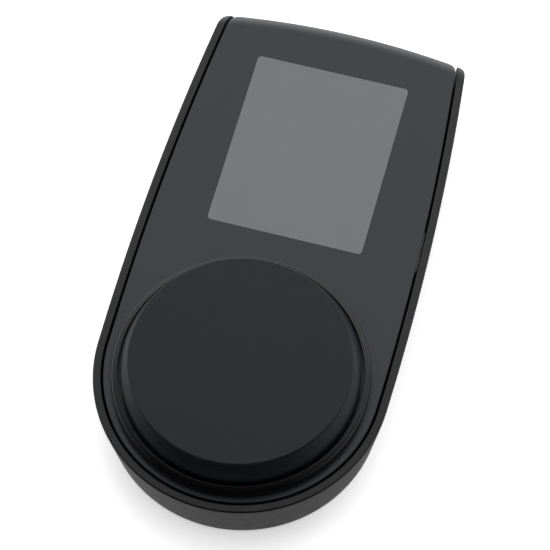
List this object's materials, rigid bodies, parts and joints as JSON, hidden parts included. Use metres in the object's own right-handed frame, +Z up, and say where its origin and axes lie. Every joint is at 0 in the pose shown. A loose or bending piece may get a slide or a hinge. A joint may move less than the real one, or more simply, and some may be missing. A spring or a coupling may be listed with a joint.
{
  "type": "radar detector",
  "caption": "Dash-top radar detector with a portrait display window, a glossy ring and a large dial that turns and presses.",
  "frame": {"origin": "middle of the bounding box at the underside of the base pad", "axes": "+Y along the length from the dial end to the far end with the receiver window, +X to the driver's right, +Z up out of the face plate"},
  "size_m": [0.0552, 0.1038, 0.0219],
  "materials": {
    "case_plastic": "satin moulded",
    "plate_plastic": "fine satin moulded",
    "ring_gloss": "piano gloss",
    "display_glass": "unlit grey display behind a clear window",
    "infrared_window": "dark infrared-clear gloss",
    "pad_rubber": "matte",
    "dial_soft": "soft-touch matte",
    "screw_steel": "blackened pan head",
    "lcd_glass": "gloss",
    "backlight_white": "satin",
    "flex_amber": "satin",
    "board_green": "solder resist",
    "tin_plate": "tinned sheet",
    "chip_black": "matte",
    "ceramic_patch": "matte",
    "speaker_black": "matte",
    "gasket_foam": "foam",
    "zinc_cast": "die cast",
    "lens_dark": "gloss",
    "encoder_metal": "die cast",
    "plunger_white": "satin"
  },
  "bodies": {
    "housing": {"bottom_shell": "case_plastic", "face_plate": "plate_plastic", "dial_ring": "ring_gloss", "display_window": "display_glass", "front_window": "infrared_window", "base_pad": "pad_rubber", "case_screw_1": "screw_steel", "case_screw_2": "screw_steel", "case_screw_3": "screw_steel", "case_screw_4": "screw_steel", "lcd_panel": "lcd_glass", "lcd_backlight": "backlight_white", "lcd_ribbon": "flex_amber", "main_board": "board_green", "receiver_shield": "tin_plate", "main_chip": "chip_black", "gps_antenna": "ceramic_patch", "power_jack": "tin_plate", "speaker": "speaker_black", "speaker_gasket": "gasket_foam", "horn_antenna": "zinc_cast", "laser_lens": "lens_dark", "laser_sensor": "chip_black", "encoder_body": "encoder_metal", "encoder_nut": "screw_steel"},
    "push_switch": {"switch_plunger": "plunger_white"},
    "dial": {"dial_cap": "dial_soft", "dial_hub": "encoder_metal", "encoder_shaft": "screw_steel"}
  },
  "joints": [
    {"name": "dial_press", "type": "slide", "parent": "housing", "child": "push_switch", "axis": [0, 0, -1], "range_m": [0, 0.0006], "stiffness_N_per_m": 2000, "springref_m": -0.0005},
    {"name": "dial_turn", "type": "hinge", "parent": "push_switch", "child": "dial", "pos_m": [0, -0.02525, 0.0219], "axis": [0, 0, 1], "continuous": true}
  ]
}
